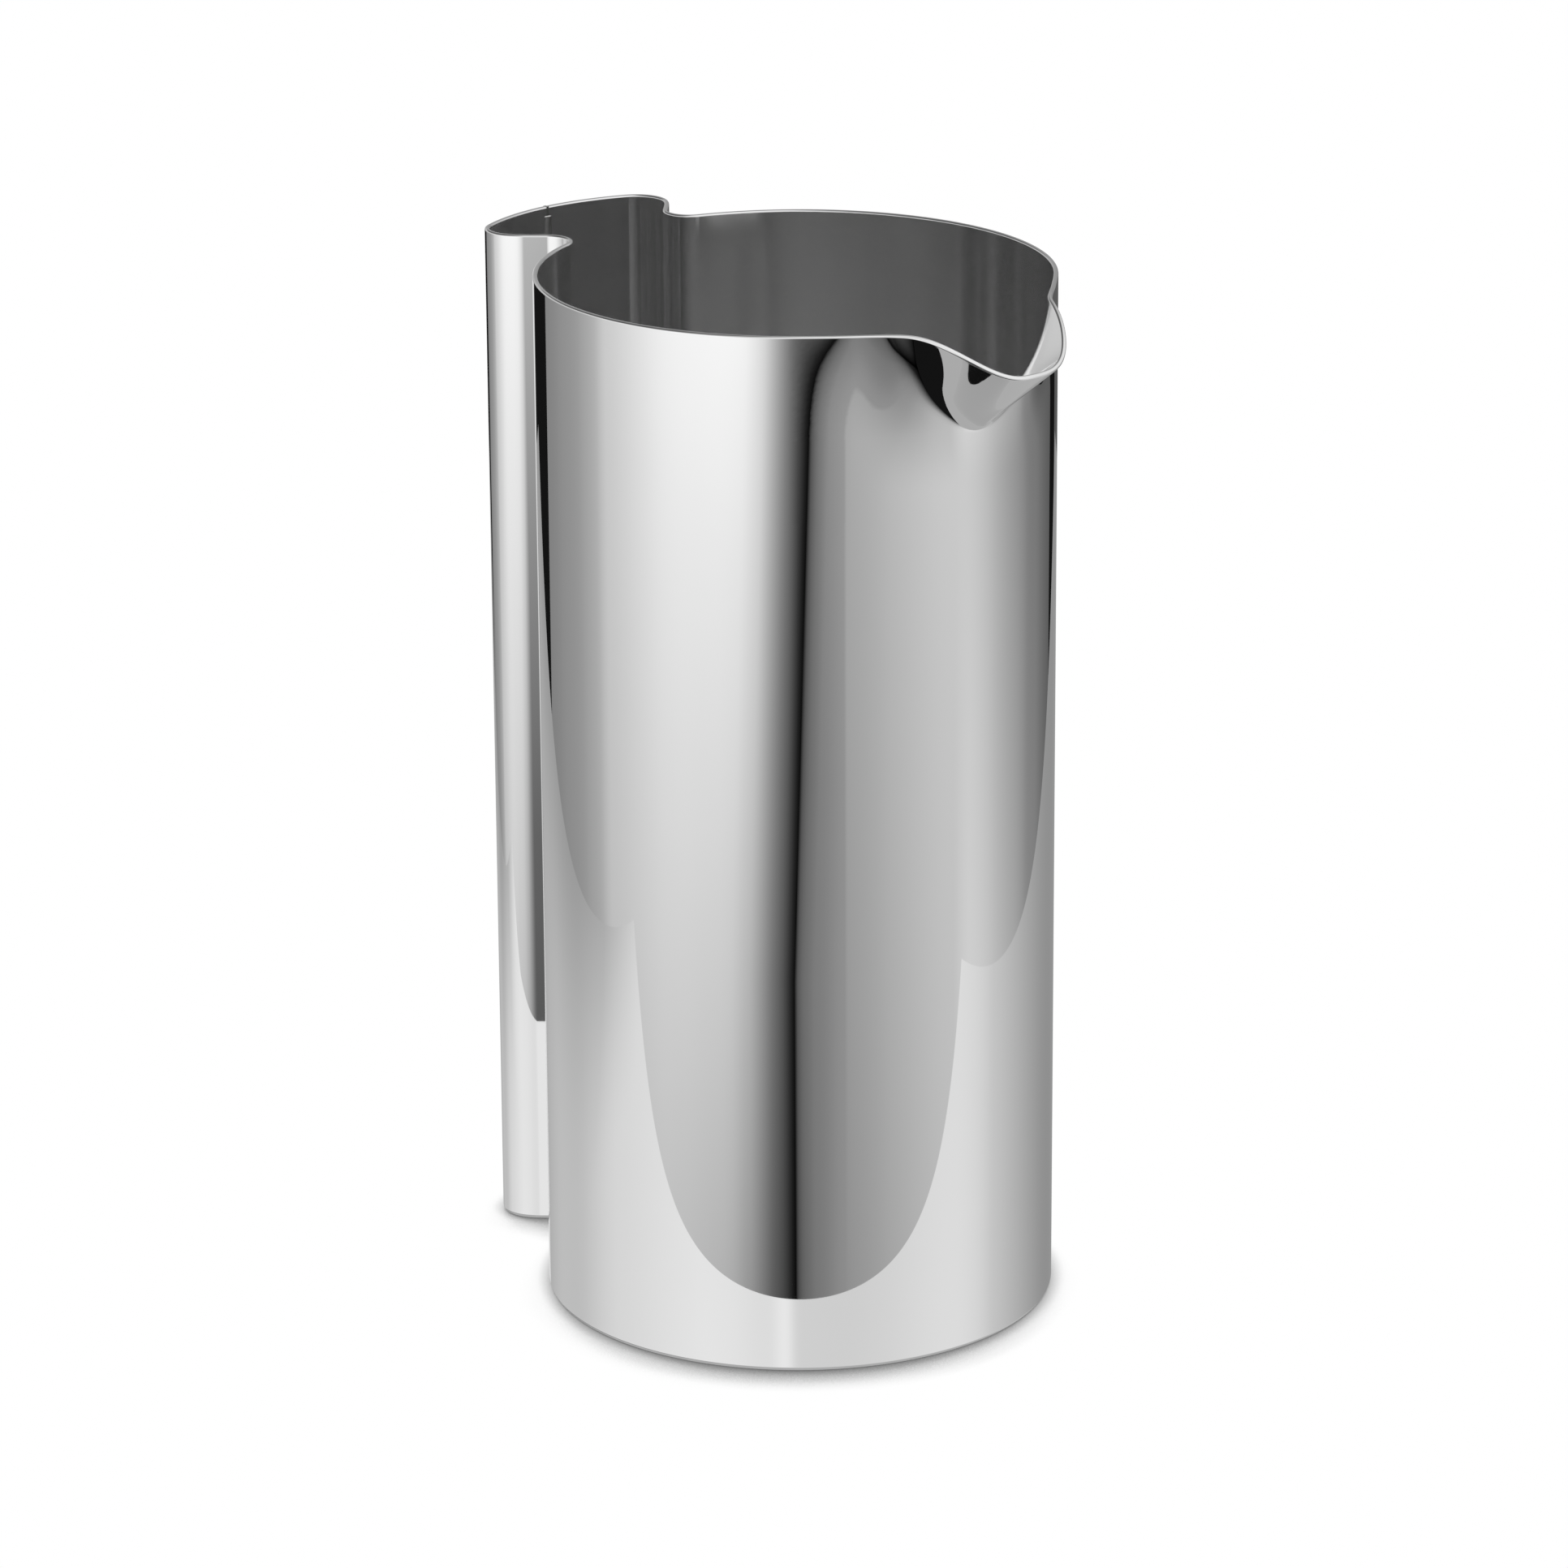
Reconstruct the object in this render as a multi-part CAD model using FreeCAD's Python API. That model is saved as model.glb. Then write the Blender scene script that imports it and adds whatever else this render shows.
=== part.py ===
import FreeCAD, Part
import math
import os

# A tall water pitcher of polished sheet metal. One sheet is rolled into a round body and folded out at
# the back into a hollow handle, and its rim is pressed out into a spout at the front.
# The frame has +Z up, +X towards the spout and -X towards the handle. The origin is on the underside
# of the floor, on the axis of the round body. All sizes are in millimetres and angles in degrees.

# Driving dimensions
BODY_RADIUS = 50.0
BODY_HEIGHT = 205.5
SHEET = 1.0
FOOT_ROUND = 0.8

HANDLE_REACH = 73.1
HANDLE_FACE_RADIUS = 43.1
HANDLE_HALF_WIDTH = 21.8
HANDLE_CORNER_RADIUS = 6.6
HANDLE_BOW_RADIUS = 12.0
HANDLE_BOW_ANGLE = 15.5
HANDLE_SLANT = 45.5
GROOVE_RADIUS = 4.4

FLOOR = 1.5
BEAD_LEG = 1.2
SEAM_WIDTH = 0.6
SEAM_CROWN = 0.35
SEAM_CROWN_RADIUS = 1.5
SEAM_TOP_GAP = 2.0

SPOUT_REACH = 12.6
SPOUT_HALF_ANGLE = 24.0
SPOUT_FLAT_ANGLE = 1.3
RIM_DIP = 8.25
RIM_DIP_ANGLE = 21.5
RIM_DIP_FLAT_ANGLE = 0.9
KEEL_DEPTH = 20.75
CREASE_ANGLE = 25.0
CREASE_ROUND_ANGLE = 5.4
CREASE_BEND = 1.0
SIDE_BEND = 5.0
KEEL_ROUND_ANGLE = 1.0
KEEL_CROWN = 0.2
SIDE_HOLLOW = 1.1
SHOULDER_SWELL = 2.2
SHOULDER_START_ANGLE = 16.0
SHOULDER_ANGLE = 28.0
SHOULDER_DEPTH = 20.0
BULGE = 2.65
BULGE_START_ANGLE = 11.25
BULGE_ANGLE = 19.65
BULGE_START_DEPTH = 1.2
BULGE_DEPTH = 31.0

# The pressed region of the wall, and the number of points that half of its surface passes through
PANEL_ANGLE = 45.0
PANEL_DEPTH = 36.0
PANEL_COLUMNS = 59
PANEL_ROWS = 41
SEWING_GAP = 0.001


def point(x, y, z=0.0):
    return FreeCAD.Vector(x, y, z)


def around(centre, radius, angle):
    """The point at a radius and an angle from a centre in plan."""
    turn = math.radians(angle)
    return centre + point(radius * math.cos(turn), radius * math.sin(turn))


def arc(centre, radius, start, end):
    middle = (start + end) / 2.0
    ends = [around(centre, radius, turn) for turn in (start, middle, end)]
    return Part.Arc(*ends).toShape()


def handle_corner():
    """The centres of the handle's back face and of its tight corner on the +Y side, in plan."""
    face_centre = point(HANDLE_FACE_RADIUS - HANDLE_REACH, 0.0)
    rise = HANDLE_HALF_WIDTH - HANDLE_CORNER_RADIUS
    run = math.sqrt((HANDLE_FACE_RADIUS - HANDLE_CORNER_RADIUS) ** 2 - rise ** 2)
    return face_centre, point(face_centre.x - run, rise)


def handle_side(corner_centre):
    """The bowed and the straight part of the handle's +Y side, and the groove beside the body."""
    slant_angle = 90.0 - HANDLE_SLANT
    bow_angle = slant_angle + HANDLE_BOW_ANGLE
    bow_centre = around(corner_centre, HANDLE_CORNER_RADIUS - HANDLE_BOW_RADIUS, bow_angle)
    normal = around(point(0.0, 0.0), 1.0, slant_angle)
    reach = bow_centre.dot(normal) + HANDLE_BOW_RADIUS + GROOVE_RADIUS
    bearing = slant_angle + math.degrees(math.acos(reach / (BODY_RADIUS + GROOVE_RADIUS)))
    groove_centre = around(point(0.0, 0.0), BODY_RADIUS + GROOVE_RADIUS, bearing)
    return slant_angle, bow_angle, bow_centre, groove_centre, bearing


def outline(inset):
    """The closed plan outline, moved inwards from the wall's outer face by an inset."""
    face_centre, corner_centre = handle_corner()
    slant_angle, bow_angle, bow_centre, groove_centre, bearing = handle_side(corner_centre)
    corner_reach = corner_centre - face_centre
    face_angle = math.degrees(math.atan2(corner_reach.y, corner_reach.x))
    bow = HANDLE_BOW_RADIUS - inset
    groove = GROOVE_RADIUS + inset
    half = [
        arc(corner_centre, HANDLE_CORNER_RADIUS - inset, face_angle, bow_angle),
        arc(bow_centre, bow, bow_angle, slant_angle),
        Part.makeLine(around(bow_centre, bow, slant_angle),
                      around(groove_centre, groove, slant_angle - 180.0)),
        arc(groove_centre, groove, slant_angle - 180.0, bearing - 180.0),
    ]
    other_half = [edge.mirror(point(0, 0), point(0, 1)) for edge in half]
    back = arc(face_centre, HANDLE_FACE_RADIUS - inset, face_angle, 360.0 - face_angle)
    front = arc(point(0, 0), BODY_RADIUS - inset, -bearing, bearing)
    edges = Part.sortEdges([back, front] + half + other_half)[0]
    return Part.Wire(edges)


def prism(wire, bottom, top):
    face = Part.Face(wire)
    face.translate(point(0, 0, bottom))
    return face.extrude(point(0, 0, top - bottom))


def ease(value):
    """Rises smoothly from 0 to 1 as the value goes from 0 to 1, with no jump in slope or curvature."""
    value = min(max(value, 0.0), 1.0)
    return value ** 3 * (10.0 - 15.0 * value + 6.0 * value ** 2)


def fade(distance, start, width):
    """One up to the start, then down smoothly to nothing over the width."""
    return 1.0 - ease((abs(distance) - start) / width)


def ramp(height, bend):
    """Nothing below a bend, and the height itself above it, with a smooth bend between."""
    share = min(max((height + bend) / (2.0 * bend), 0.0), 1.0)
    bent = 2.0 * bend * (share ** 3 - share ** 4 / 2.0)
    return bent if height < bend else height


def rim_height(angle):
    return BODY_HEIGHT - RIM_DIP * fade(angle, RIM_DIP_FLAT_ANGLE, RIM_DIP_ANGLE)


def crease_height(angle):
    """Height of the V-shaped crease where the spout leaves the round wall."""
    rounded = math.hypot(angle, CREASE_ROUND_ANGLE) - CREASE_ROUND_ANGLE
    return BODY_HEIGHT - KEEL_DEPTH * (1.0 - rounded / CREASE_ANGLE)


def swell(angle, height):
    """How far the wall stands out from the round body at an angle from the spout and a height."""
    side = min((math.hypot(angle, KEEL_ROUND_ANGLE) - KEEL_ROUND_ANGLE) / CREASE_ANGLE, 1.0)
    bend = CREASE_BEND + SIDE_BEND * side
    rise = ramp(height - crease_height(angle), bend)
    full_rise = ramp(rim_height(angle) - crease_height(angle), bend)
    share = rise / full_rise if full_rise > 0.0 else 0.0
    share += (KEEL_CROWN * (1.0 - side) - SIDE_HOLLOW * side) * share * (1.0 - share)
    spout = SPOUT_REACH * fade(angle, SPOUT_FLAT_ANGLE, SPOUT_HALF_ANGLE)
    shoulder = SHOULDER_SWELL * fade(angle, SHOULDER_START_ANGLE, SHOULDER_ANGLE)
    bulge = BULGE * fade(angle, BULGE_START_ANGLE, BULGE_ANGLE)
    bulge *= fade(BODY_HEIGHT - height, BULGE_START_DEPTH, BULGE_DEPTH)
    shoulder *= max(1.0 - (BODY_HEIGHT - height) / SHOULDER_DEPTH, 0.0) ** 2
    return spout * share + shoulder + bulge


def panel_point(angle, share):
    """A point of the wall's outer face: share 0 is the panel's lower edge and 1 is the rim."""
    bottom = BODY_HEIGHT - PANEL_DEPTH
    height = bottom + share * (rim_height(angle) - bottom)
    return around(point(0, 0, height), BODY_RADIUS + swell(angle, height), angle)


def panel_normal(angle, share):
    step = 0.001
    along = panel_point(angle + step, share) - panel_point(angle - step, share)
    up = panel_point(angle, share + step) - panel_point(angle, share - step)
    return along.cross(up).normalize()


def panel_surface(inset):
    """The +Y half of the panel's face, a surface through points of the wall, set in by an inset."""
    columns = [PANEL_ANGLE * i / (PANEL_COLUMNS - 1) for i in range(PANEL_COLUMNS)]
    rows = [j / (PANEL_ROWS - 1) for j in range(PANEL_ROWS)]
    grid = [[panel_point(angle, share) - panel_normal(angle, share) * inset for share in rows]
            for angle in columns]
    surface = Part.BSplineSurface()
    surface.interpolate(grid)
    return surface


def spout_panel():
    """The outer, inner and rim faces of the sheet where it is pressed out, a half and its mirror image."""
    outer = panel_surface(0.0)
    inner = panel_surface(SHEET)
    rim = Part.makeRuledSurface(outer.vIso(1.0).toShape(), inner.vIso(1.0).toShape())
    half = [outer.toShape(), inner.toShape(), rim]
    return half + [face.mirror(point(0, 0), point(0, 1)) for face in half]


def panel_window():
    """The wedge of space that the spout's panel takes from the plain wall."""
    reach = 2.0 * BODY_RADIUS
    bottom = BODY_HEIGHT - PANEL_DEPTH
    corners = [point(0, 0, bottom)]
    corners += [around(corners[0], reach, turn) for turn in (-PANEL_ANGLE, 0.0, PANEL_ANGLE)]
    wedge = Part.Face(Part.makePolygon(corners + corners[:1]))
    return wedge.extrude(point(0, 0, 2.0 * PANEL_DEPTH))


def seam_slot():
    slot = Part.makeBox(3.0 * SHEET, SEAM_WIDTH, BODY_HEIGHT)
    slot.translate(point(-HANDLE_REACH - SHEET, -SEAM_WIDTH / 2.0, 0))
    return slot


def plain_wall():
    """The folded sheet before its spout is pressed, with its foot edge rounded."""
    wall = prism(outline(0.0), 0.0, BODY_HEIGHT).cut(prism(outline(SHEET), 0.0, BODY_HEIGHT))
    foot_edges = [edge for edge in wall.Edges if is_outer_foot_edge(edge)]
    return wall.makeFillet(FOOT_ROUND, foot_edges)


def is_outer_foot_edge(edge):
    box = edge.BoundBox
    if box.ZMax > 0.001:
        return False
    middle = edge.valueAt((edge.FirstParameter + edge.LastParameter) / 2.0)
    outer_face = Part.Face(outline(0.0)).Edges
    spot = Part.Vertex(middle)
    return min(spot.distToShape(side)[0] for side in outer_face) < 0.001


def body_wall(wall):
    """The plain wall with its window closed by the spout's faces, sewn into one solid."""
    window = panel_window()
    opened = wall.cut(window).cut(seam_slot())
    kept = [face for face in opened.Faces if not window.isInside(face.CenterOfMass, 0.01, True)]
    shell = Part.makeShell(kept + spout_panel())
    shell.sewShape(SEWING_GAP)
    solid = Part.makeSolid(shell)
    if solid.Volume < 0.0:
        solid.reverse()
    return solid


def back_seam(wall):
    """Filler of the butt joint in the handle's back, flush outside and a low bead inside."""
    filler = wall.common(seam_slot())
    crown_bottom = FLOOR + BEAD_LEG
    crown_centre = SHEET + SEAM_CROWN - SEAM_CROWN_RADIUS - HANDLE_REACH
    crown = Part.makeCylinder(SEAM_CROWN_RADIUS, BODY_HEIGHT - SEAM_TOP_GAP - crown_bottom)
    crown.translate(point(crown_centre, 0, crown_bottom))
    crown = crown.common(prism(outline(SHEET), 0.0, BODY_HEIGHT))
    return filler.fuse(crown).removeSplitter()


def base_seam():
    """The fillet of filler that joins the floor to the wall all round inside."""
    filled = prism(outline(SHEET), FLOOR, FLOOR + BEAD_LEG)
    lower = outline(SHEET + BEAD_LEG)
    upper = outline(SHEET)
    lower.translate(point(0, 0, FLOOR))
    upper.translate(point(0, 0, FLOOR + BEAD_LEG))
    hollow = Part.makeLoft([lower, upper], True, True)
    return filled.cut(hollow)


def write(name, shape):
    shape.exportStep("parts/" + name + ".step")
    print(name, "valid", shape.isValid(), "solids", len(shape.Solids), "volume", round(shape.Volume, 1))


def main():
    os.makedirs("parts", exist_ok=True)
    wall = plain_wall()
    write("body_wall", body_wall(wall))
    write("base_plate", prism(outline(SHEET), 0.0, FLOOR))
    write("back_seam", back_seam(wall))
    write("base_seam", base_seam())


main()
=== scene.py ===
import math

import bpy
from mathutils import Matrix, Vector


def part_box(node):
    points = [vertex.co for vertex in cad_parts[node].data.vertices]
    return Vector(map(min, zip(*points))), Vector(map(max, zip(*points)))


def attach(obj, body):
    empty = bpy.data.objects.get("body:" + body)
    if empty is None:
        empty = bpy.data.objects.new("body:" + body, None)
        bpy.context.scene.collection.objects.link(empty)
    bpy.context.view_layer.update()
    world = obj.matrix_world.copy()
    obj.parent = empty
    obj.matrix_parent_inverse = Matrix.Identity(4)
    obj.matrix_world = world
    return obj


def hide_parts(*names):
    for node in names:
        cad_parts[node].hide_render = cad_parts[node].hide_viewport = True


# A water pitcher of mirror polished sheet metal, standing on white paper in a round light tent.
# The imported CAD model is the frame. The folded wall is built again here as one fine mesh with soft
# edges, from the same shape rules, because a mirror shows every facet of a coarse one.
# The wall's shape is worked out in millimetres and degrees, as in the CAD, and everything else is in
# metres. +X points to the spout and -X to the handle.

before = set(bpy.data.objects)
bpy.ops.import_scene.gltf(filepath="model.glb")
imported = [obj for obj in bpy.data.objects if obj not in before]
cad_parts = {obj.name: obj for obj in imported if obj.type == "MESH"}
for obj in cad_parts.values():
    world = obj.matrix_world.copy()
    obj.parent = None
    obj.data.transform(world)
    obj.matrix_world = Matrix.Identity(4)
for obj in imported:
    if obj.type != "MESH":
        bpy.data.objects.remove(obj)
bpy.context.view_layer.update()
scene = bpy.context.scene

MM = 0.001
ORIGIN = (0.0, 0.0)
UP = Vector((0.0, 0.0, 1.0))
wall_low, wall_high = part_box("body_wall")
_, plate_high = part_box("base_plate")
_, seam_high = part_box("back_seam")

# Sizes read from the frame, in millimetres
BODY_RADIUS = wall_high.y / MM
BODY_HEIGHT = seam_high.z / MM
HANDLE_REACH = -wall_low.x / MM
SHEET = BODY_RADIUS - plate_high.y / MM

# The rest of the wall's shape, in millimetres and degrees
FOOT_ROUND = 0.8
RIM_ROUND = 0.4
INNER_FOOT_ROUND = 0.1
SEAM_HALF_WIDTH = 0.3
HANDLE_FACE_RADIUS = 43.1
HANDLE_HALF_WIDTH = 21.8
HANDLE_CORNER_RADIUS = 6.6
HANDLE_BOW_RADIUS = 12.0
HANDLE_BOW_ANGLE = 15.5
HANDLE_SLANT = 45.5
GROOVE_RADIUS = 4.4
SPOUT_REACH = 12.6
SPOUT_HALF_ANGLE = 24.0
SPOUT_FLAT_ANGLE = 1.3
RIM_DIP = 8.25
RIM_DIP_ANGLE = 21.5
RIM_DIP_FLAT_ANGLE = 0.9
KEEL_DEPTH = 20.75
CREASE_ANGLE = 25.0
CREASE_ROUND_ANGLE = 5.4
CREASE_BEND = 1.0
SIDE_BEND = 5.0
KEEL_ROUND_ANGLE = 1.0
KEEL_CROWN = 0.2
SIDE_HOLLOW = 1.1
SHOULDER_SWELL = 2.2
SHOULDER_START_ANGLE = 16.0
SHOULDER_ANGLE = 28.0
SHOULDER_DEPTH = 20.0
BULGE = 2.65
BULGE_START_ANGLE = 11.25
BULGE_ANGLE = 19.65
BULGE_START_DEPTH = 1.2
BULGE_DEPTH = 31.0
PANEL_ANGLE = 45.0
PANEL_DEPTH = 36.0

# How finely the wall is divided: steps in degrees, and numbers of parts
SPOUT_STEP = 0.6
BODY_STEP = 1.2
FACE_STEP = 1.0
CORNER_STEP = 5.0
BOW_STEP = 2.5
SLANT_PARTS = 8
PANEL_ROWS = 72
PLAIN_ROWS = 14
ROUND_PARTS = 4
# The small step over which the wall's slopes are measured
SLOPE_STEP = 0.001


# ---- The shape of the spout, as in the CAD ----

def ease(value):
    """Rises smoothly from 0 to 1 as the value goes from 0 to 1."""
    value = min(max(value, 0.0), 1.0)
    return value ** 3 * (10.0 - 15.0 * value + 6.0 * value ** 2)


def fade(distance, start, width):
    """One up to the start, then down smoothly to nothing over the width."""
    return 1.0 - ease((abs(distance) - start) / width)


def ramp(height, bend):
    """Nothing below a bend, and the height itself above it, with a smooth bend between."""
    share = min(max((height + bend) / (2.0 * bend), 0.0), 1.0)
    bent = 2.0 * bend * (share ** 3 - share ** 4 / 2.0)
    return bent if height < bend else height


def rim_height(angle):
    return BODY_HEIGHT - RIM_DIP * fade(angle, RIM_DIP_FLAT_ANGLE, RIM_DIP_ANGLE)


def crease_height(angle):
    """Height of the V-shaped crease where the spout leaves the round wall."""
    rounded = math.hypot(angle, CREASE_ROUND_ANGLE) - CREASE_ROUND_ANGLE
    return BODY_HEIGHT - KEEL_DEPTH * (1.0 - rounded / CREASE_ANGLE)


def swell(angle, height):
    """How far the wall stands out from the round body at an angle from the spout and a height."""
    side = min((math.hypot(angle, KEEL_ROUND_ANGLE) - KEEL_ROUND_ANGLE) / CREASE_ANGLE, 1.0)
    bend = CREASE_BEND + SIDE_BEND * side
    rise = ramp(height - crease_height(angle), bend)
    full_rise = ramp(rim_height(angle) - crease_height(angle), bend)
    share = rise / full_rise if full_rise > 0.0 else 0.0
    share += (KEEL_CROWN * (1.0 - side) - SIDE_HOLLOW * side) * share * (1.0 - share)
    spout = SPOUT_REACH * fade(angle, SPOUT_FLAT_ANGLE, SPOUT_HALF_ANGLE)
    shoulder = SHOULDER_SWELL * fade(angle, SHOULDER_START_ANGLE, SHOULDER_ANGLE)
    shoulder *= max(1.0 - (BODY_HEIGHT - height) / SHOULDER_DEPTH, 0.0) ** 2
    bulge = BULGE * fade(angle, BULGE_START_ANGLE, BULGE_ANGLE)
    bulge *= fade(BODY_HEIGHT - height, BULGE_START_DEPTH, BULGE_DEPTH)
    return spout * share + shoulder + bulge


# ---- The wall's outline in plan ----

def around(centre, radius, angle):
    """The point at a radius and an angle from a centre in plan."""
    turn = math.radians(angle)
    return Vector((centre[0] + radius * math.cos(turn), centre[1] + radius * math.sin(turn), 0.0))


def handle_corner():
    """The centres of the handle's back face and of its tight corner on the +Y side, in plan."""
    face_centre = Vector((HANDLE_FACE_RADIUS - HANDLE_REACH, 0.0, 0.0))
    rise = HANDLE_HALF_WIDTH - HANDLE_CORNER_RADIUS
    run = math.sqrt((HANDLE_FACE_RADIUS - HANDLE_CORNER_RADIUS) ** 2 - rise ** 2)
    return face_centre, Vector((face_centre.x - run, rise, 0.0))


def handle_side(corner_centre):
    """The bowed and the straight part of the handle's +Y side, and the groove beside the body."""
    slant_angle = 90.0 - HANDLE_SLANT
    bow_angle = slant_angle + HANDLE_BOW_ANGLE
    bow_centre = around(corner_centre, HANDLE_CORNER_RADIUS - HANDLE_BOW_RADIUS, bow_angle)
    normal = around(ORIGIN, 1.0, slant_angle)
    reach = bow_centre.dot(normal) + HANDLE_BOW_RADIUS + GROOVE_RADIUS
    bearing = slant_angle + math.degrees(math.acos(reach / (BODY_RADIUS + GROOVE_RADIUS)))
    groove_centre = around(ORIGIN, BODY_RADIUS + GROOVE_RADIUS, bearing)
    return slant_angle, bow_angle, bow_centre, groove_centre, bearing


def steps(start, end, size):
    """Evenly spaced values from start to end, both included, about one size apart."""
    count = max(1, round(abs(end - start) / size))
    return [start + (end - start) * i / count for i in range(count + 1)]


def arc_stations(centre, radius, start, end, size, hollow=False):
    """Points along an arc with their outward normals. A hollow arc bends inwards, towards its centre."""
    turn = 180.0 if hollow else 0.0
    return [(around(centre, radius, angle), around(ORIGIN, 1.0, angle + turn))
            for angle in steps(start, end, size)]


def half_stations():
    """Stations of the +Y half of the outline, from the middle of the spout to the seam in the back."""
    face_centre, corner_centre = handle_corner()
    slant_angle, bow_angle, bow_centre, groove_centre, bearing = handle_side(corner_centre)
    corner_reach = corner_centre - face_centre
    face_angle = math.degrees(math.atan2(corner_reach.y, corner_reach.x))
    normal = around(ORIGIN, 1.0, slant_angle)
    seam_angle = 180.0 - math.degrees(SEAM_HALF_WIDTH / HANDLE_FACE_RADIUS)
    body = arc_stations(ORIGIN, BODY_RADIUS, 0.0, PANEL_ANGLE, SPOUT_STEP)
    body += arc_stations(ORIGIN, BODY_RADIUS, PANEL_ANGLE, bearing, BODY_STEP)[1:]
    groove = arc_stations(groove_centre, GROOVE_RADIUS, bearing - 180.0, slant_angle - 180.0,
                          CORNER_STEP, hollow=True)
    slant_start = groove[-1][0]
    slant_end = bow_centre + normal * HANDLE_BOW_RADIUS
    slant = [(slant_start.lerp(slant_end, i / SLANT_PARTS), normal) for i in range(SLANT_PARTS + 1)]
    bow = arc_stations(bow_centre, HANDLE_BOW_RADIUS, slant_angle, bow_angle, BOW_STEP)
    corner = arc_stations(corner_centre, HANDLE_CORNER_RADIUS, bow_angle, face_angle, CORNER_STEP)
    face = arc_stations(face_centre, HANDLE_FACE_RADIUS, face_angle, seam_angle, FACE_STEP)
    return body + groove[1:] + slant[1:] + bow[1:] + corner[1:] + face[1:]


def outline_stations():
    """Stations of the whole outline, from one side of the back seam round to the other."""
    half = half_stations()
    mirror = Matrix.Scale(-1.0, 4, Vector((0.0, 1.0, 0.0)))
    other = [(mirror @ place, mirror @ normal) for place, normal in half]
    return list(reversed(other)) + half[1:]


# ---- The wall as a mesh ----

def panel_place(angle, share):
    """The point of the outer face at an angle and a share of the panel's height."""
    bottom = BODY_HEIGHT - PANEL_DEPTH
    height = bottom + share * (rim_height(angle) - bottom)
    place = around(ORIGIN, BODY_RADIUS + swell(angle, height), angle)
    place.z = height
    return place


def panel_frame(angle, share):
    """The outer face's point, outward normal and upward direction at an angle and a share of the panel."""
    along = panel_place(angle + SLOPE_STEP, share) - panel_place(angle - SLOPE_STEP, share)
    upward = panel_place(angle, share + SLOPE_STEP) - panel_place(angle, share - SLOPE_STEP)
    return panel_place(angle, share), along.cross(upward).normalized(), upward.normalized()


def station_frames(place, normal):
    """The outer face's frames at one station, from the foot to the rim."""
    panel_bottom = BODY_HEIGHT - PANEL_DEPTH
    frames = [(place + UP * height, normal, UP)
              for height in steps(FOOT_ROUND, panel_bottom, (panel_bottom - FOOT_ROUND) / PLAIN_ROWS)]
    angle = math.degrees(math.atan2(place.y, place.x))
    for share in steps(0.0, 1.0, 1.0 / PANEL_ROWS)[1:]:
        if abs(angle) <= PANEL_ANGLE + SPOUT_STEP / 2.0:
            frames.append(panel_frame(angle, share))
        else:
            frames.append((place + UP * (panel_bottom + share * PANEL_DEPTH), normal, UP))
    return frames


def rounded(corner, inward, down, radius):
    """Points and normals of a rounded edge, from the face whose normal is -inward to the one at -down."""
    centre = corner + inward * radius + down * radius
    points = []
    for turn in steps(0.0, math.pi / 2.0, math.pi / 2.0 / ROUND_PARTS):
        normal = (-inward * math.cos(turn) - down * math.sin(turn)).normalized()
        points.append((centre + normal * radius, normal))
    return points


def section(place, normal):
    """One closed section of the sheet: up the outer face, over the rim, down the inner face and under."""
    frames = station_frames(place, normal)
    rim, rim_normal, rim_up = frames[-1]
    under = rounded(place, -normal, UP, FOOT_ROUND)
    inner_under = rounded(place - normal * SHEET, normal, UP, INNER_FOOT_ROUND)
    outer = [(point, way) for point, way, _ in frames[1:-1]]
    over = rounded(rim, -rim_normal, -rim_up, RIM_ROUND)
    over_inner = rounded(rim - rim_normal * SHEET, rim_normal, -rim_up, RIM_ROUND)
    inner = [(point - way * SHEET, -way) for point, way, _ in frames[1:-1]]
    return [
        ("polished", list(reversed(under))),
        ("polished", outer),
        ("rim", over),
        ("rim", list(reversed(over_inner))),
        ("inside", list(reversed(inner))),
        ("inside", inner_under),
    ]


def wall_mesh(finishes):
    """The folded sheet as a closed mesh. finishes are the kinds of face, in the order of its materials."""
    sections = [section(place, normal) for place, normal in outline_stations()]
    kinds = [kind for kind, points in sections[0] for _ in points]
    rings = [[point for _, points in parts for point in points] for parts in sections]
    size = len(kinds)
    verts = [point * MM for ring in rings for point, _ in ring]
    normals = [way for ring in rings for _, way in ring]
    faces = []
    slots = []
    for i in range(len(rings) - 1):
        for j in range(size):
            k = (j + 1) % size
            faces.append((i * size + j, (i + 1) * size + j, (i + 1) * size + k, i * size + k))
            slots.append(finishes.index(kinds[k]))
    last = (len(rings) - 1) * size
    faces.append(tuple(range(size)))
    faces.append(tuple(last + j for j in reversed(range(size))))
    slots += [finishes.index("rim")] * 2
    mesh = bpy.data.meshes.new("folded_wall")
    mesh.from_pydata(verts, [], faces)
    mesh.polygons.foreach_set("material_index", slots)
    mesh.polygons.foreach_set("use_smooth", [True] * (len(faces) - 2) + [False] * 2)
    mesh.normals_split_custom_set_from_vertices(normals)
    mesh.update()
    return mesh


# ---- Materials ----

# The slow drift of tone and roughness over bare metal: its scale, the range of noise that it uses, and
# how much darker its dull places are
CLOUD_SCALE = 60.0
CLOUD_DETAIL = 4.0
CLOUD_LOW = 0.3
CLOUD_HIGH = 0.7
CLOUD_SHADE = 0.985
GRAIN_DETAIL = 3.0


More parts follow.
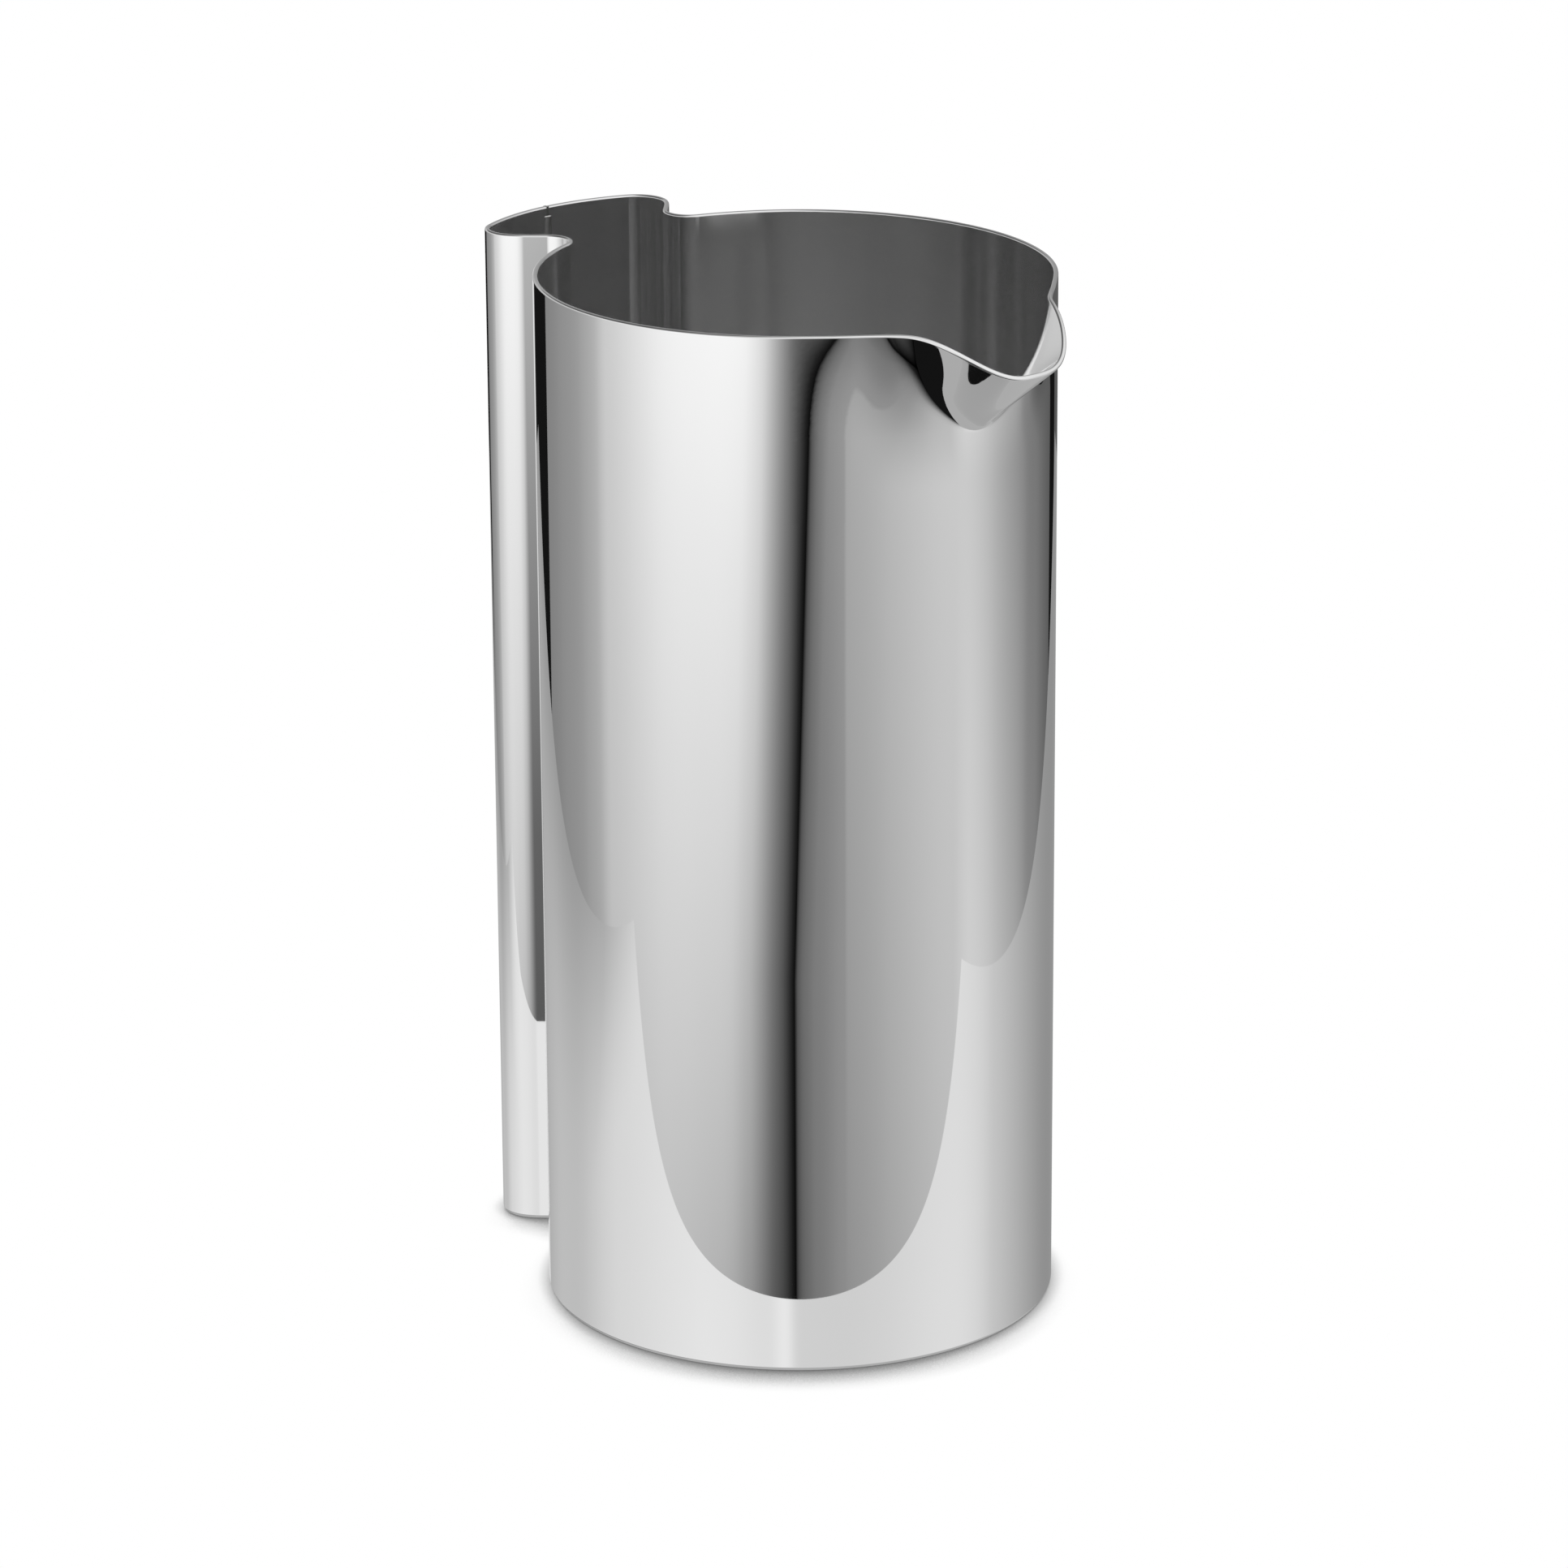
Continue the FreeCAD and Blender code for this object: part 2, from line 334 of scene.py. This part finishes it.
def metal(name, colour, low, high, grain_scale, grain_height):
    """Bare metal whose roughness drifts between low and high, with a fine polishing grain. grain_scale is
    how many grains there are in a metre along X, Y and Z."""
    material = bpy.data.materials.new(name)
    material.use_nodes = True
    nodes = material.node_tree.nodes
    links = material.node_tree.links
    shader = nodes["Principled BSDF"]
    shader.inputs["Metallic"].default_value = 1.0
    place = nodes.new("ShaderNodeTexCoord")
    cloud = nodes.new("ShaderNodeTexNoise")
    cloud.inputs["Scale"].default_value = CLOUD_SCALE
    cloud.inputs["Detail"].default_value = CLOUD_DETAIL
    links.new(place.outputs["Object"], cloud.inputs["Vector"])
    spread = nodes.new("ShaderNodeMapRange")
    spread.inputs["From Min"].default_value = CLOUD_LOW
    spread.inputs["From Max"].default_value = CLOUD_HIGH
    spread.inputs["To Min"].default_value = low
    spread.inputs["To Max"].default_value = high
    links.new(cloud.outputs["Fac"], spread.inputs["Value"])
    links.new(spread.outputs["Result"], shader.inputs["Roughness"])
    tone = nodes.new("ShaderNodeMix")
    tone.data_type = "RGBA"
    tone.inputs["A"].default_value = (*[channel * CLOUD_SHADE for channel in colour], 1.0)
    tone.inputs["B"].default_value = (*colour, 1.0)
    links.new(cloud.outputs["Fac"], tone.inputs["Factor"])
    links.new(tone.outputs["Result"], shader.inputs["Base Color"])
    stretch = nodes.new("ShaderNodeMapping")
    stretch.inputs["Scale"].default_value = grain_scale
    links.new(place.outputs["Object"], stretch.inputs["Vector"])
    grain = nodes.new("ShaderNodeTexNoise")
    grain.inputs["Scale"].default_value = 1.0
    grain.inputs["Detail"].default_value = GRAIN_DETAIL
    links.new(stretch.outputs["Vector"], grain.inputs["Vector"])
    bump = nodes.new("ShaderNodeBump")
    bump.inputs["Strength"].default_value = 1.0
    bump.inputs["Distance"].default_value = grain_height
    links.new(grain.outputs["Fac"], bump.inputs["Height"])
    links.new(bump.outputs["Normal"], shader.inputs["Normal"])
    return material


polished = metal("polished_outside", (0.80, 0.80, 0.80), 0.012, 0.03, (900.0, 900.0, 25.0), 2e-8)
rim_finish = metal("polished_rim", (0.84, 0.84, 0.84), 0.05, 0.08, (900.0, 900.0, 900.0), 5e-8)
inside = metal("satin_inside", (0.94, 0.94, 0.94), 0.10, 0.13, (300.0, 300.0, 20.0), 5e-8)
floor_finish = metal("satin_floor", (0.90, 0.90, 0.90), 0.24, 0.30, (20.0, 300.0, 300.0), 5e-8)
filler = metal("dressed_filler", (0.76, 0.76, 0.75), 0.10, 0.18, (500.0, 500.0, 200.0), 3e-7)


# ---- The pieces ----

def add_object(name, mesh, materials):
    piece = bpy.data.objects.new(name, mesh)
    scene.collection.objects.link(piece)
    for material in materials:
        mesh.materials.append(material)
    return piece


def refinish(node, material):
    """Gives a CAD piece, which keeps its own mesh, one of the metals."""
    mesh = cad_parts[node].data
    mesh.materials.clear()
    mesh.materials.append(material)


WALL_FINISHES = {"polished": polished, "rim": rim_finish, "inside": inside}
wall = add_object("folded_wall", wall_mesh(list(WALL_FINISHES)), WALL_FINISHES.values())
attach(wall, "root")
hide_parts("body_wall")

refinish("base_plate", floor_finish)
refinish("back_seam", filler)
refinish("base_seam", filler)


# ---- The studio ----

CAMERA_BEARING = math.radians(47.46)
CAMERA_RISE = math.radians(18.302)
CAMERA_ROLL = math.radians(-0.321)
CAMERA_DISTANCE = 1.34574
CAMERA_LENS = 158.565
SENSOR_WIDTH = 36.0
CLIP_START = 0.1
CLIP_END = 20.0
AIM_SIDEWAYS = -0.00271
AIM_HEIGHT = 0.10266


def add_camera():
    """The camera looks at a point near the pitcher's axis, from its bearing off -Y and its rise."""
    back = Vector((
        math.sin(CAMERA_BEARING) * math.cos(CAMERA_RISE),
        -math.cos(CAMERA_BEARING) * math.cos(CAMERA_RISE),
        math.sin(CAMERA_RISE),
    ))
    level = Vector((math.cos(CAMERA_BEARING), math.sin(CAMERA_BEARING), 0.0))
    upright = back.cross(level)
    right = level * math.cos(CAMERA_ROLL) + upright * math.sin(CAMERA_ROLL)
    up = upright * math.cos(CAMERA_ROLL) - level * math.sin(CAMERA_ROLL)
    place = level * AIM_SIDEWAYS + UP * AIM_HEIGHT + back * CAMERA_DISTANCE
    camera = bpy.data.objects.new("camera", bpy.data.cameras.new("camera"))
    scene.collection.objects.link(camera)
    camera.matrix_world = Matrix((right, up, back)).transposed().to_4x4()
    camera.location = place
    camera.data.lens = CAMERA_LENS
    camera.data.sensor_width = SENSOR_WIDTH
    camera.data.clip_start = CLIP_START
    camera.data.clip_end = CLIP_END
    scene.camera = camera


def glow(name):
    """An emission material, its nodes and links, and its emission node."""
    material = bpy.data.materials.new(name)
    material.use_nodes = True
    nodes = material.node_tree.nodes
    nodes.clear()
    output = nodes.new("ShaderNodeOutputMaterial")
    emission = nodes.new("ShaderNodeEmission")
    material.node_tree.links.new(emission.outputs["Emission"], output.inputs["Surface"])
    return material, nodes, material.node_tree.links, emission


def math_node(nodes, links, operation, first, second):
    """The output of a math node. Its two values are numbers or other nodes' outputs."""
    node = nodes.new("ShaderNodeMath")
    node.operation = operation
    for socket, value in zip(node.inputs, (first, second)):
        if isinstance(value, float):
            socket.default_value = value
        else:
            links.new(value, socket)
    return node.outputs["Value"]


# ---- The tent ----

# The tent stands round the pitcher. Its wall goes on below the floor, which reflections don't see
TENT_RADIUS = 1.0
TENT_BOTTOM = -1.0
TENT_TOP = 0.06
UPPER_TOP = 0.55
TENT_SIDES = 128
DOME_SIDES = 64
DOME_ROWS = 16

# Bearings in the tent are in degrees: 0 is towards the camera and 90 to the camera's right. The studio is
# turned so that the camera is along its own -Y, and a radial gradient starts at its -X
FRONT_ANGLE = -90.0
FIRST_BEARING = -90.0
FULL_TURN = 360.0

# Brightness of the lower tent by bearing, at eye level: a bright panel at the left front, a weaker one at
# the right, and dim cloth behind
TENT = [(-90, .73), (-66, .97), (-46, 1.09), (-16, 1.0), (2, .48), (18, .48), (40, .61), (76, .74),
        (96, .52), (118, .28), (132, .20), (146, .12), (172, .12), (206, .22), (232, .31), (252, .41),
        (264, .56), (270, .73)]
TENT_PEAK = 1.25
EYE_LEVEL = -0.07
# How fast the tent darkens downwards by bearing, as a share of its brightness per metre
FALL = [(-90, .6), (-56, 1.35), (-34, 1.65), (-24, 1.93), (-12, 2.1), (0, 1.5), (8, 1.2), (24, .9),
        (72, .55), (80, -.4), (112, -1.6), (144, -1.0), (180, 0), (252, .4), (270, .6)]
FALL_SPAN = 5.0
TENT_FLOOR = 0.09
# The dark gap at the camera, with its soft left flank, at one height. It leans to the right upwards by so
# many degrees a metre, and is upright from so far below that height downwards
GAP = [(-26, 1), (-18, .86), (-8, .40), (-4, .24), (-.5, .06), (1.4, .01), (2.4, .28), (5, .60), (10, .90),
       (20, 1)]
LEAN = 38.0
LEAN_HEIGHT = -0.175
LEAN_FLOOR = -0.09
# A grey veil lies right of the gap. It ends in a straight edge and thins out downwards
VEIL_EDGE = [(-3, 0), (2, 1), (20.0, 1), (20.7, 0)]
VEIL = 0.18
VEIL_BOTTOM = -0.42
VEIL_GAIN = 4.5
# The tent is black at its bottom and gains its brightness upwards from there, as a share per metre
BOTTOM_GAIN = 2.5
# Brightness of the upper tent by bearing: what the glossy board shows
UPPER = [(-90, .835), (-50, .955), (-31, .955), (-14, .90), (-6.5, 1.0), (-2, .82), (4, .78), (31, .79),
         (75, .89), (95, .70), (137, .37), (180, .36), (216, .58), (246, .65), (270, .835)]
# Brightness of the tent's roof by bearing: the inside of the pitcher shows it
DOME = [(-90, .12), (-45, .35), (0, .85), (80, 1.0), (140, .6), (200, .2), (270, .12)]
# Two black cards just inside the tent: their bearings, and the heights of their lower corners
CARD_RADIUS = 0.98
CARD_PARTS = 12
LEFT_CARD = (-140.0, -175.0, -0.185, -0.145)
RIGHT_CARD = (147.5, 157.0, TENT_BOTTOM, TENT_BOTTOM)
BLACK = 0.008


def ramp_node(nodes, stops, mode):
    """A colour ramp of grey values from (bearing, brightness) pairs, over a full turn."""
    node = nodes.new("ShaderNodeValToRGB")
    node.color_ramp.interpolation = mode
    elements = node.color_ramp.elements
    while len(elements) > 1:
        elements.remove(elements[-1])
    for i, (bearing, value) in enumerate(stops):
        place = (bearing - FIRST_BEARING) / FULL_TURN
        element = elements[0] if i == 0 else elements.new(place)
        element.position = place
        element.color = (value, value, value, 1.0)
    return node


def bearing_node(nodes, links):
    """The object coordinates of a tent wall and its bearing, as a share of a turn from the first one."""
    place = nodes.new("ShaderNodeTexCoord")
    turn = nodes.new("ShaderNodeTexGradient")
    turn.gradient_type = "RADIAL"
    links.new(place.outputs["Object"], turn.inputs["Vector"])
    return place.outputs["Object"], turn.outputs["Fac"]


def wall_material(name, stops):
    """Lit cloth whose brightness changes with the bearing only."""
    material, nodes, links, emission = glow(name)
    _, bearing = bearing_node(nodes, links)
    tone = ramp_node(nodes, stops, "CARDINAL")
    links.new(bearing, tone.inputs["Fac"])
    links.new(tone.outputs["Color"], emission.inputs["Strength"])
    return material


def tent_material():
    """The tent's lower wall: it darkens downwards, and a leaning dark gap is left for the camera."""
    material, nodes, links, emission = glow("light_tent")
    place, bearing = bearing_node(nodes, links)
    split = nodes.new("ShaderNodeSeparateXYZ")
    links.new(place, split.inputs["Vector"])
    height = split.outputs["Z"]

    def calc(operation, first, second):
        return math_node(nodes, links, operation, first, second)

    def tone(stops, value, mode="LINEAR"):
        node = ramp_node(nodes, stops, mode)
        links.new(value, node.inputs["Fac"])
        return node.outputs["Color"]

    def gain(bottom, rate):
        return calc("MINIMUM", calc("MULTIPLY", calc("SUBTRACT", height, bottom), rate), 1.0)

    broad = tone([(turn, level / TENT_PEAK) for turn, level in TENT], bearing, "CARDINAL")
    middle = FALL_SPAN / 2.0
    fall = tone([(turn, (level + middle) / FALL_SPAN) for turn, level in FALL], bearing)
    fall = calc("SUBTRACT", calc("MULTIPLY", fall, FALL_SPAN), middle)
    drop = calc("MULTIPLY", calc("SUBTRACT", height, EYE_LEVEL), fall)
    kept = calc("MAXIMUM", calc("ADD", drop, 1.0), TENT_FLOOR)
    lean = calc("MAXIMUM", calc("SUBTRACT", height, LEAN_HEIGHT), LEAN_FLOOR)
    gap = tone(GAP, calc("SUBTRACT", bearing, calc("MULTIPLY", lean, LEAN / FULL_TURN)))
    thin = calc("MULTIPLY", calc("MAXIMUM", gain(VEIL_BOTTOM, VEIL_GAIN), 0.0), VEIL)
    veil = calc("SUBTRACT", 1.0, calc("MULTIPLY", thin, tone(VEIL_EDGE, bearing)))
    lit = calc("MULTIPLY", calc("MULTIPLY", broad, TENT_PEAK), gap)
    lit = calc("MULTIPLY", calc("MULTIPLY", lit, kept), veil)
    links.new(calc("MULTIPLY", lit, gain(TENT_BOTTOM, BOTTOM_GAIN)), emission.inputs["Strength"])
    return material


def black_material():
    material, _, _, emission = glow("black_card")
    emission.inputs["Strength"].default_value = BLACK
    return material


# ---- The board and the floor ----

# The white board behind the pitcher. Only reflections see it
BOARD_LEFT = -0.278
BOARD_RIGHT = 0.250
BOARD_FRONT = -0.086
BOARD_BACK = 0.60
BOARD_GLOW = 0.50
# It turns from its own white into a mirror between these two shares of Layer Weight's facing
GLOSS_START = 0.3
GLOSS_FULL = 0.6
# Painted shade darkens its gloss at the left: the level there, and the places between which it rises to
# full. They move to the left in front of the pitcher's middle, by so much a metre
BOARD_SHADE_LEVEL = 0.58
BOARD_SHADE_START = BOARD_LEFT - 0.06
BOARD_SHADE_END = -0.09
BOARD_SHADE_SKEW = 1.2

FLOOR_SIZE = 3.0
# The pitcher's shadow on the floor, a cast one and a fine one where it touches. For each: how far it
# reaches, how far its light leans away from the camera, its darkest level, and the openness at which it
# is darkest and at which it ends
CAST_SHADOW = {"reach": 0.013, "tilt": 0.9, "darkest": 0.26, "dark_at": 0.34, "clear_at": 0.66}
TOUCH_SHADOW = {"reach": 0.004, "tilt": 0.0, "darkest": 0.60, "dark_at": 0.5, "clear_at": 0.9}
SHADOW_SAMPLES = 8


def shaded_gloss_level(nodes, links):
    """The strength of the board's gloss, darkened by painted shade along its left edge, and less so at the
    front.
    """
    place = nodes.new("ShaderNodeTexCoord")
    split = nodes.new("ShaderNodeSeparateXYZ")
    links.new(place.outputs["Object"], split.inputs["Vector"])
    front = math_node(nodes, links, "MULTIPLY", split.outputs["Y"], -BOARD_SHADE_SKEW)
    front = math_node(nodes, links, "MAXIMUM", front, 0.0)
    across = math_node(nodes, links, "ADD", split.outputs["X"], front)
    level = nodes.new("ShaderNodeMapRange")
    level.interpolation_type = "SMOOTHSTEP"
    level.inputs["From Min"].default_value = BOARD_SHADE_START
    level.inputs["From Max"].default_value = BOARD_SHADE_END
    level.inputs["To Min"].default_value = BOARD_SHADE_LEVEL
    level.inputs["To Max"].default_value = 1.0
    links.new(across, level.inputs["Value"])
    return level.outputs["Result"]


def mix_surfaces(material, share, first, second):
    """Ends a material in a mix of two shaders."""
    nodes = material.node_tree.nodes
    links = material.node_tree.links
    choose = nodes.new("ShaderNodeMixShader")
    links.new(share, choose.inputs[0])
    links.new(first, choose.inputs[1])
    links.new(second, choose.inputs[2])
    links.new(choose.outputs["Shader"], nodes["Material Output"].inputs["Surface"])


def board_material():
    """A white board: it shows the upper tent at a shallow angle and its own white from above."""
    material, nodes, links, emission = glow("white_board")
    emission.inputs["Strength"].default_value = BOARD_GLOW
    mirror = nodes.new("ShaderNodeBsdfAnisotropic")
    mirror.inputs["Roughness"].default_value = 0.0
    # Painted shade: the mirror is darker along the board's left edge
    links.new(shaded_gloss_level(nodes, links), mirror.inputs["Color"])
    slant = nodes.new("ShaderNodeLayerWeight")
    share = nodes.new("ShaderNodeMapRange")
    share.inputs["From Min"].default_value = GLOSS_START
    share.inputs["From Max"].default_value = GLOSS_FULL
    links.new(slant.outputs["Facing"], share.inputs["Value"])
    mix_surfaces(material, share.outputs["Result"], emission.outputs["Emission"], mirror.outputs["BSDF"])
    return material


def contact_shade(nodes, links, reach, tilt, darkest, dark_at, clear_at):
    """A soft shadow where the pitcher is within reach: a brightness between the darkest and 1. Its light
    leans away from the camera, so the shadow falls towards it."""
    shade = nodes.new("ShaderNodeAmbientOcclusion")
    shade.samples = SHADOW_SAMPLES
    shade.inputs["Distance"].default_value = reach
    light = nodes.new("ShaderNodeCombineXYZ")
    light.inputs["X"].default_value = -math.sin(CAMERA_BEARING) * tilt
    light.inputs["Y"].default_value = math.cos(CAMERA_BEARING) * tilt
    light.inputs["Z"].default_value = math.sqrt(1.0 - tilt ** 2)
    links.new(light.outputs["Vector"], shade.inputs["Normal"])
    tone = nodes.new("ShaderNodeMapRange")
    tone.inputs["From Min"].default_value = dark_at
    tone.inputs["From Max"].default_value = clear_at
    tone.inputs["To Min"].default_value = darkest
    links.new(shade.outputs["AO"], tone.inputs["Value"])
    return tone.outputs["Result"]


def floor_material():
    """Paper lit to pure white, with a tight soft shadow at the pitcher. It is clear from below."""
    material, nodes, links, emission = glow("white_paper")
    cast = contact_shade(nodes, links, **CAST_SHADOW)
    touch = contact_shade(nodes, links, **TOUCH_SHADOW)
    links.new(math_node(nodes, links, "MULTIPLY", cast, touch), emission.inputs["Strength"])
    clear = nodes.new("ShaderNodeBsdfTransparent")
    side = nodes.new("ShaderNodeNewGeometry")
    mix_surfaces(material, side.outputs["Backfacing"], emission.outputs["Emission"], clear.outputs["BSDF"])
    return material


# ---- The shapes of the studio, as points and faces ----

def plane(left, right, near, far, height):
    """A level rectangle."""
    corners = [(left, near, height), (right, near, height), (right, far, height), (left, far, height)]
    return corners, [(0, 1, 2, 3)]


def tent_wall(bottom, top):
    """A round wall of the tent."""
    points = []
    faces = []
    for i in range(TENT_SIDES):
        spot = around(ORIGIN, TENT_RADIUS, FULL_TURN * i / TENT_SIDES)
        points += [(spot.x, spot.y, bottom), (spot.x, spot.y, top)]
        k = (i + 1) % TENT_SIDES
        faces.append((2 * i, 2 * k, 2 * k + 1, 2 * i + 1))
    return points, faces


def card(start, end, start_bottom, end_bottom):
    """A curved card between two bearings, with a slanting lower edge. It is as high as the lower tent."""
    points = []
    for i in range(CARD_PARTS + 1):
        share = i / CARD_PARTS
        spot = around(ORIGIN, CARD_RADIUS, start + (end - start) * share + FRONT_ANGLE)
        points += [(spot.x, spot.y, start_bottom + (end_bottom - start_bottom) * share),
                   (spot.x, spot.y, TENT_TOP)]
    return points, [(2 * i, 2 * i + 2, 2 * i + 3, 2 * i + 1) for i in range(CARD_PARTS)]


def dome(base):
    """The tent's roof, a half sphere."""
    points = [(0.0, 0.0, base + TENT_RADIUS)]
    for j in range(1, DOME_ROWS + 1):
        tilt = math.pi / 2.0 * j / DOME_ROWS
        for i in range(DOME_SIDES):
            spot = around(ORIGIN, TENT_RADIUS * math.sin(tilt), FULL_TURN * i / DOME_SIDES)
            points.append((spot.x, spot.y, base + TENT_RADIUS * math.cos(tilt)))
    faces = []
    for i in range(DOME_SIDES):
        k = (i + 1) % DOME_SIDES
        faces.append((0, 1 + i, 1 + k))
        for j in range(DOME_ROWS - 1):
            low = 1 + j * DOME_SIDES
            high = low + DOME_SIDES
            faces.append((low + i, high + i, high + k, low + k))
    return points, faces


# ---- The studio, put together ----

BOUNCES = 24


def stage(name, shape, material, seen_by_camera=False):
    """Adds a part of the studio, turned to face the camera. Either the camera or reflections see it."""
    points, faces = shape
    mesh = bpy.data.meshes.new(name)
    mesh.from_pydata(points, [], faces)
    thing = add_object(name, mesh, (material,))
    thing.rotation_euler = (0.0, 0.0, CAMERA_BEARING)
    thing.visible_camera = seen_by_camera
    thing.visible_glossy = not seen_by_camera
    thing.visible_diffuse = False
    thing.visible_shadow = False
    thing.visible_transmission = False


def add_studio():
    half = FLOOR_SIZE / 2.0
    black = black_material()
    stage("floor", plane(-half, half, -half, half, 0.0), floor_material(), seen_by_camera=True)
    stage("board", plane(BOARD_LEFT, BOARD_RIGHT, BOARD_FRONT, BOARD_BACK, 0.0), board_material())
    stage("tent", tent_wall(TENT_BOTTOM, TENT_TOP), tent_material())
    stage("upper_tent", tent_wall(TENT_TOP, UPPER_TOP), wall_material("upper_tent", UPPER))
    stage("tent_top", dome(UPPER_TOP), wall_material("tent_top", DOME))
    stage("pit", plane(-TENT_RADIUS, TENT_RADIUS, -TENT_RADIUS, TENT_RADIUS, TENT_BOTTOM), black)
    stage("left_card", card(*LEFT_CARD), black)
    stage("right_card", card(*RIGHT_CARD), black)
    world = bpy.data.worlds.new("white_room")
    world.use_nodes = True
    world.node_tree.nodes["Background"].inputs["Color"].default_value = (1.0, 1.0, 1.0, 1.0)
    scene.world = world
    scene.view_settings.view_transform = "Standard"
    scene.cycles.max_bounces = BOUNCES
    scene.cycles.glossy_bounces = BOUNCES
    scene.cycles.caustics_reflective = False


add_camera()
add_studio()
